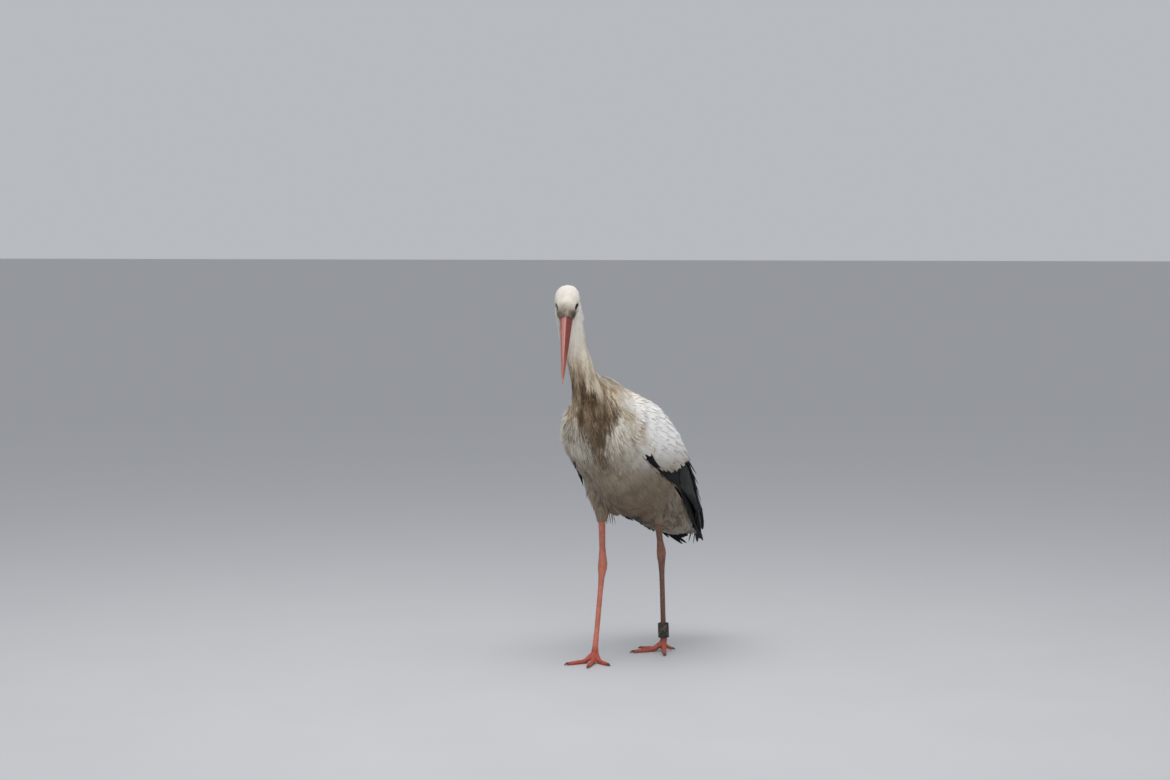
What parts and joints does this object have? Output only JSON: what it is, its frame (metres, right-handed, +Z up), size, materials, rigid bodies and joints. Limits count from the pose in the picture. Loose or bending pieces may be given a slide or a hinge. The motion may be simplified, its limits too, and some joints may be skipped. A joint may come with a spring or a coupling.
{
  "type": "white stork",
  "caption": "Life-size adult white stork in mid-stride, facing the viewer with its bill held down, wings folded, and a marking ring above one foot.",
  "frame": {"origin": "on the floor, under the middle of the whole bird's bounding box", "axes": "+Z up, -Y the way the trunk faces, +X the bird's own left side"},
  "size_m": [0.2398, 0.7018, 0.8782],
  "materials": {
    "white_feathers": "matte",
    "black_feathers": "slight sheen",
    "bill": "satin, dry horn",
    "leg_skin": "satin, scaled",
    "claws": "dull horn",
    "eyes": "wet and glossy",
    "leg_ring": "worn"
  },
  "bodies": {
    "root": {"bill_lower": "bill", "bill_upper": "bill", "claw_left_hind": "claws", "claw_left_inner": "claws", "claw_left_middle": "claws", "claw_left_outer": "claws", "claw_right_hind": "claws", "claw_right_inner": "claws", "claw_right_middle": "claws", "claw_right_outer": "claws", "eye_left": "eyes", "eye_right": "eyes", "foot_left": "leg_skin", "foot_right": "leg_skin", "head": "white_feathers", "leg_ring": "leg_ring", "neck_lower": "white_feathers", "neck_upper": "white_feathers", "tail": "white_feathers", "tarsus_left": "leg_skin", "tarsus_right": "leg_skin", "thigh_left": "white_feathers", "thigh_right": "white_feathers", "tibia_left": "leg_skin", "tibia_right": "leg_skin", "toe_left_hind": "leg_skin", "toe_left_inner": "leg_skin", "toe_left_middle": "leg_skin", "toe_left_outer": "leg_skin", "toe_right_hind": "leg_skin", "toe_right_inner": "leg_skin", "toe_right_middle": "leg_skin", "toe_right_outer": "leg_skin", "trunk": "white_feathers", "wing_left_coverts": "white_feathers", "wing_left_flight": "black_feathers", "wing_right_coverts": "white_feathers", "wing_right_flight": "black_feathers"}
  },
  "joints": []
}
